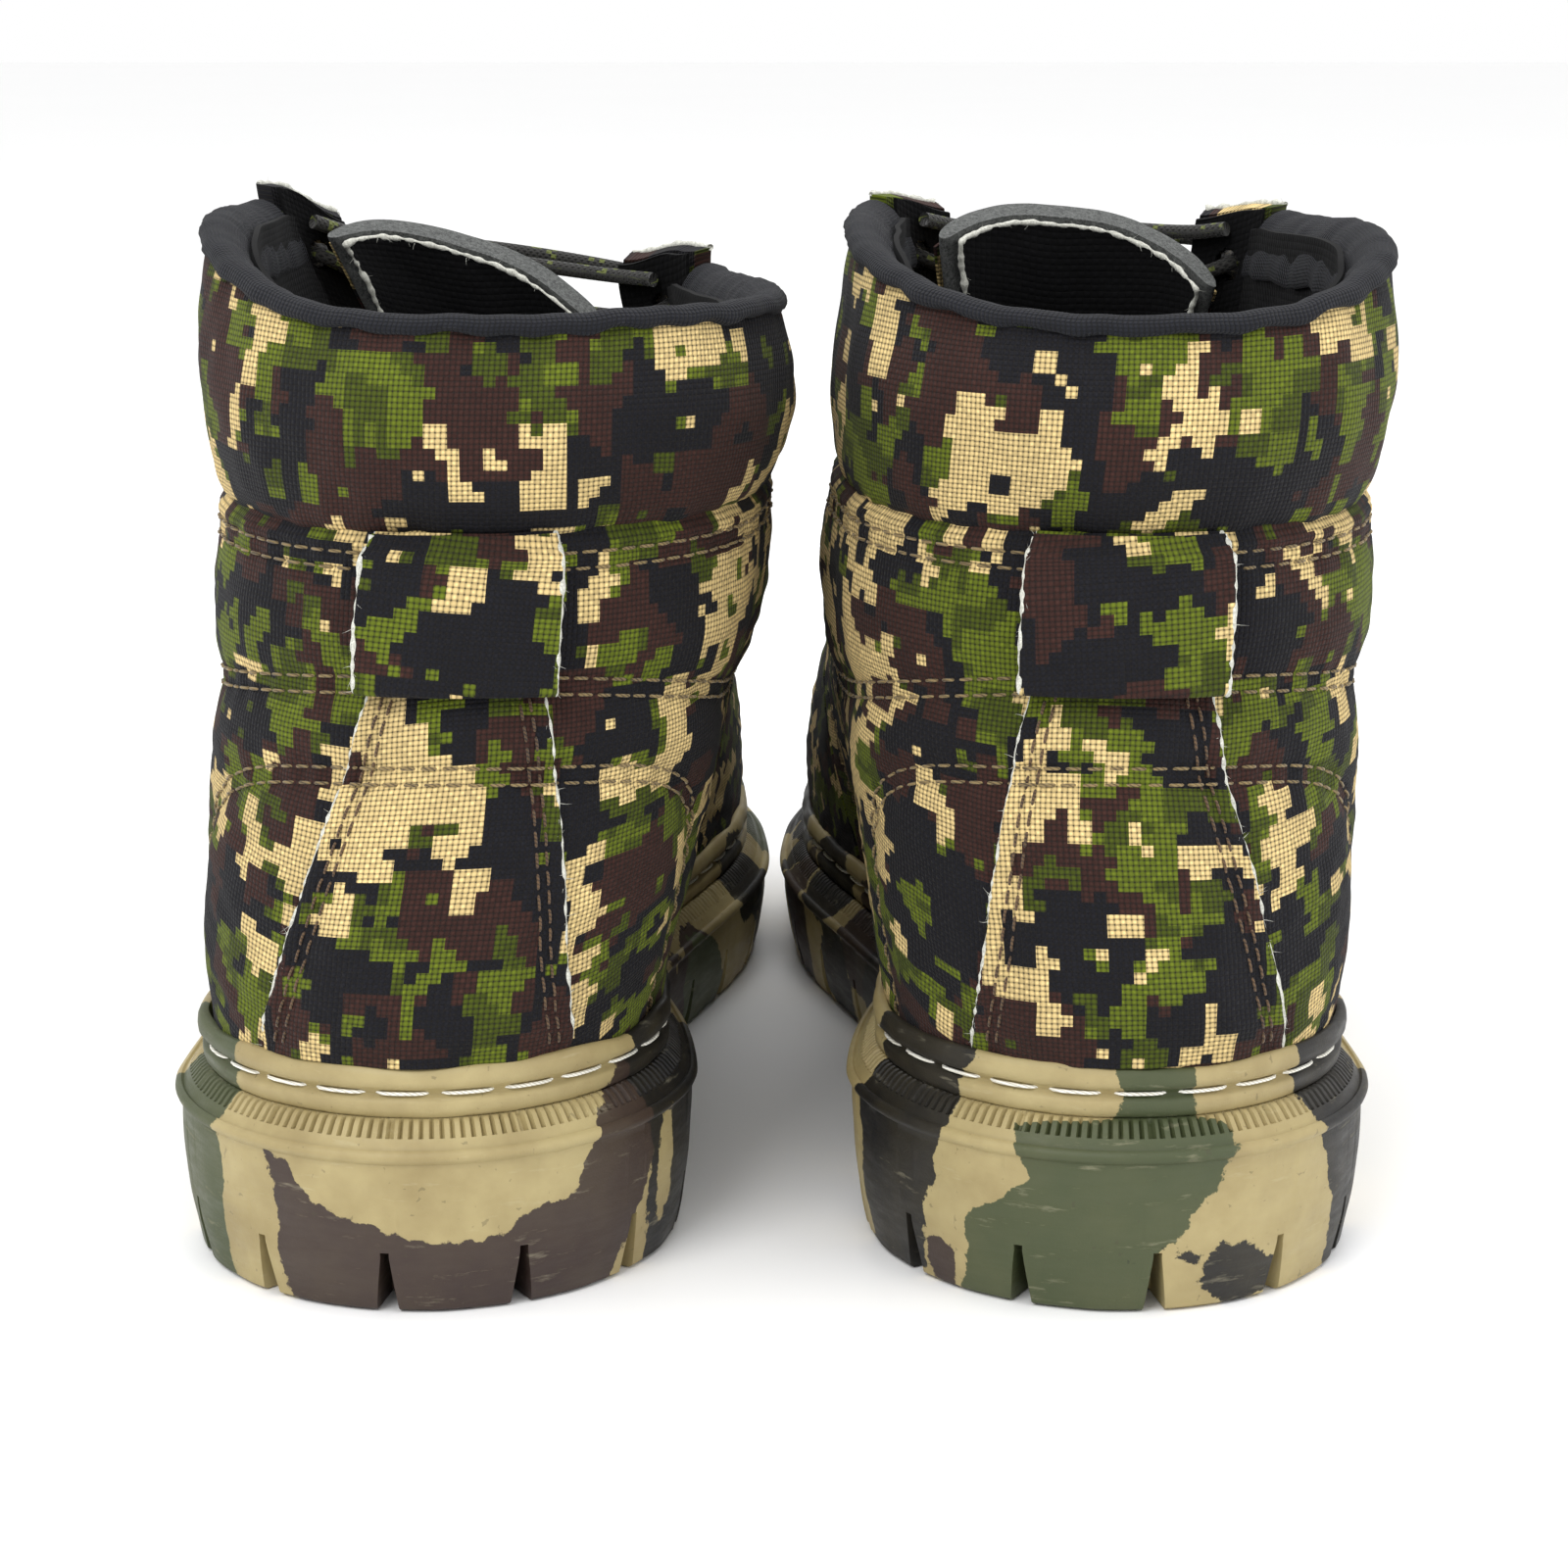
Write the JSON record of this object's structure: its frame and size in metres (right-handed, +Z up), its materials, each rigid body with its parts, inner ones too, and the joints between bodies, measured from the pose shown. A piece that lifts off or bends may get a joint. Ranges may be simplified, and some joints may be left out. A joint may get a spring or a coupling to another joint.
{
  "type": "pair of hunting boots",
  "caption": "Pair of ankle-high, insulated lace-up hunting boots with a padded collar, heel pull loops, camouflage canvas uppers and chunky lugged rubber soles.",
  "frame": {"origin": "on the floor, midway between the two boots and midway along their length", "axes": "+Y towards the toes, +Z up from the floor, +X from the left boot to the right boot"},
  "size_m": [0.2164, 0.3008, 0.163],
  "materials": {
    "outsole_rubber": "moulded, sprayed in a four-colour camouflage, matte",
    "rand_rubber": "moulded, sprayed, matte",
    "thread": "twisted thread",
    "foam": "foamed",
    "steel": "spring steel strip",
    "board": "pressed fibre board",
    "footbed_felt": "felt over foam",
    "stiffener": "thermoplastic stiffener sheet",
    "insulation_felt": "lofted insulation",
    "lining_textile": "brushed textile",
    "camo_canvas": "foam-backed woven canvas in a blocky camouflage",
    "knit_binding": "knitted tape",
    "tongue_felt": "felt with a raw edge",
    "blackened_metal": "blackened",
    "lace_cord": "braided cord"
  },
  "bodies": {
    "left_boot": {"left_outsole": "outsole_rubber", "left_welt_rand": "rand_rubber", "left_welt_stitch": "thread", "left_midsole_foam": "foam", "left_shank": "steel", "left_insole_board": "board", "left_footbed": "footbed_felt", "left_toe_puff": "stiffener", "left_heel_counter": "stiffener", "left_lining": "lining_textile", "left_insulation": "insulation_felt", "left_vamp": "camo_canvas", "left_quarter_lateral": "camo_canvas", "left_quarter_medial": "camo_canvas", "left_back_stay": "camo_canvas", "left_collar_pad": "camo_canvas", "left_collar_binding": "knit_binding", "left_eyestay_lateral": "camo_canvas", "left_eyestay_medial": "camo_canvas", "left_eyelets_lateral": "blackened_metal", "left_eyelets_medial": "blackened_metal", "left_lace": "lace_cord"},
    "left_tongue": {"left_tongue": "tongue_felt"},
    "left_pull_loop": {"left_pull_loop": "camo_canvas"},
    "right_boot": {"right_outsole": "outsole_rubber", "right_welt_rand": "rand_rubber", "right_welt_stitch": "thread", "right_midsole_foam": "foam", "right_shank": "steel", "right_insole_board": "board", "right_footbed": "footbed_felt", "right_toe_puff": "stiffener", "right_heel_counter": "stiffener", "right_lining": "lining_textile", "right_insulation": "insulation_felt", "right_vamp": "camo_canvas", "right_quarter_lateral": "camo_canvas", "right_quarter_medial": "camo_canvas", "right_back_stay": "camo_canvas", "right_collar_pad": "camo_canvas", "right_collar_binding": "knit_binding", "right_eyestay_lateral": "camo_canvas", "right_eyestay_medial": "camo_canvas", "right_eyelets_lateral": "blackened_metal", "right_eyelets_medial": "blackened_metal", "right_lace": "lace_cord"},
    "right_tongue": {"right_tongue": "tongue_felt"},
    "right_pull_loop": {"right_pull_loop": "camo_canvas"}
  },
  "joints": [
    {"name": "right_boot_slide", "type": "slide", "parent": "left_boot", "child": "right_boot", "axis": [1, 0, 0], "range_m": [0, 0.1]},
    {"name": "left_tongue_hinge", "type": "hinge", "parent": "left_boot", "child": "left_tongue", "pos_m": [-0.0554, 0.0565, 0.085], "axis": [1, 0, 0], "range_deg": [0, 20]},
    {"name": "left_pull_loop_hinge", "type": "hinge", "parent": "left_boot", "child": "left_pull_loop", "pos_m": [-0.0554, -0.14, 0.1185], "axis": [-1, 0, 0], "range_deg": [0, 120]},
    {"name": "right_tongue_hinge", "type": "hinge", "parent": "right_boot", "child": "right_tongue", "pos_m": [0.0554, 0.0565, 0.085], "axis": [1, 0, 0], "range_deg": [0, 20]},
    {"name": "right_pull_loop_hinge", "type": "hinge", "parent": "right_boot", "child": "right_pull_loop", "pos_m": [0.0554, -0.14, 0.1185], "axis": [-1, 0, 0], "range_deg": [0, 120]}
  ]
}
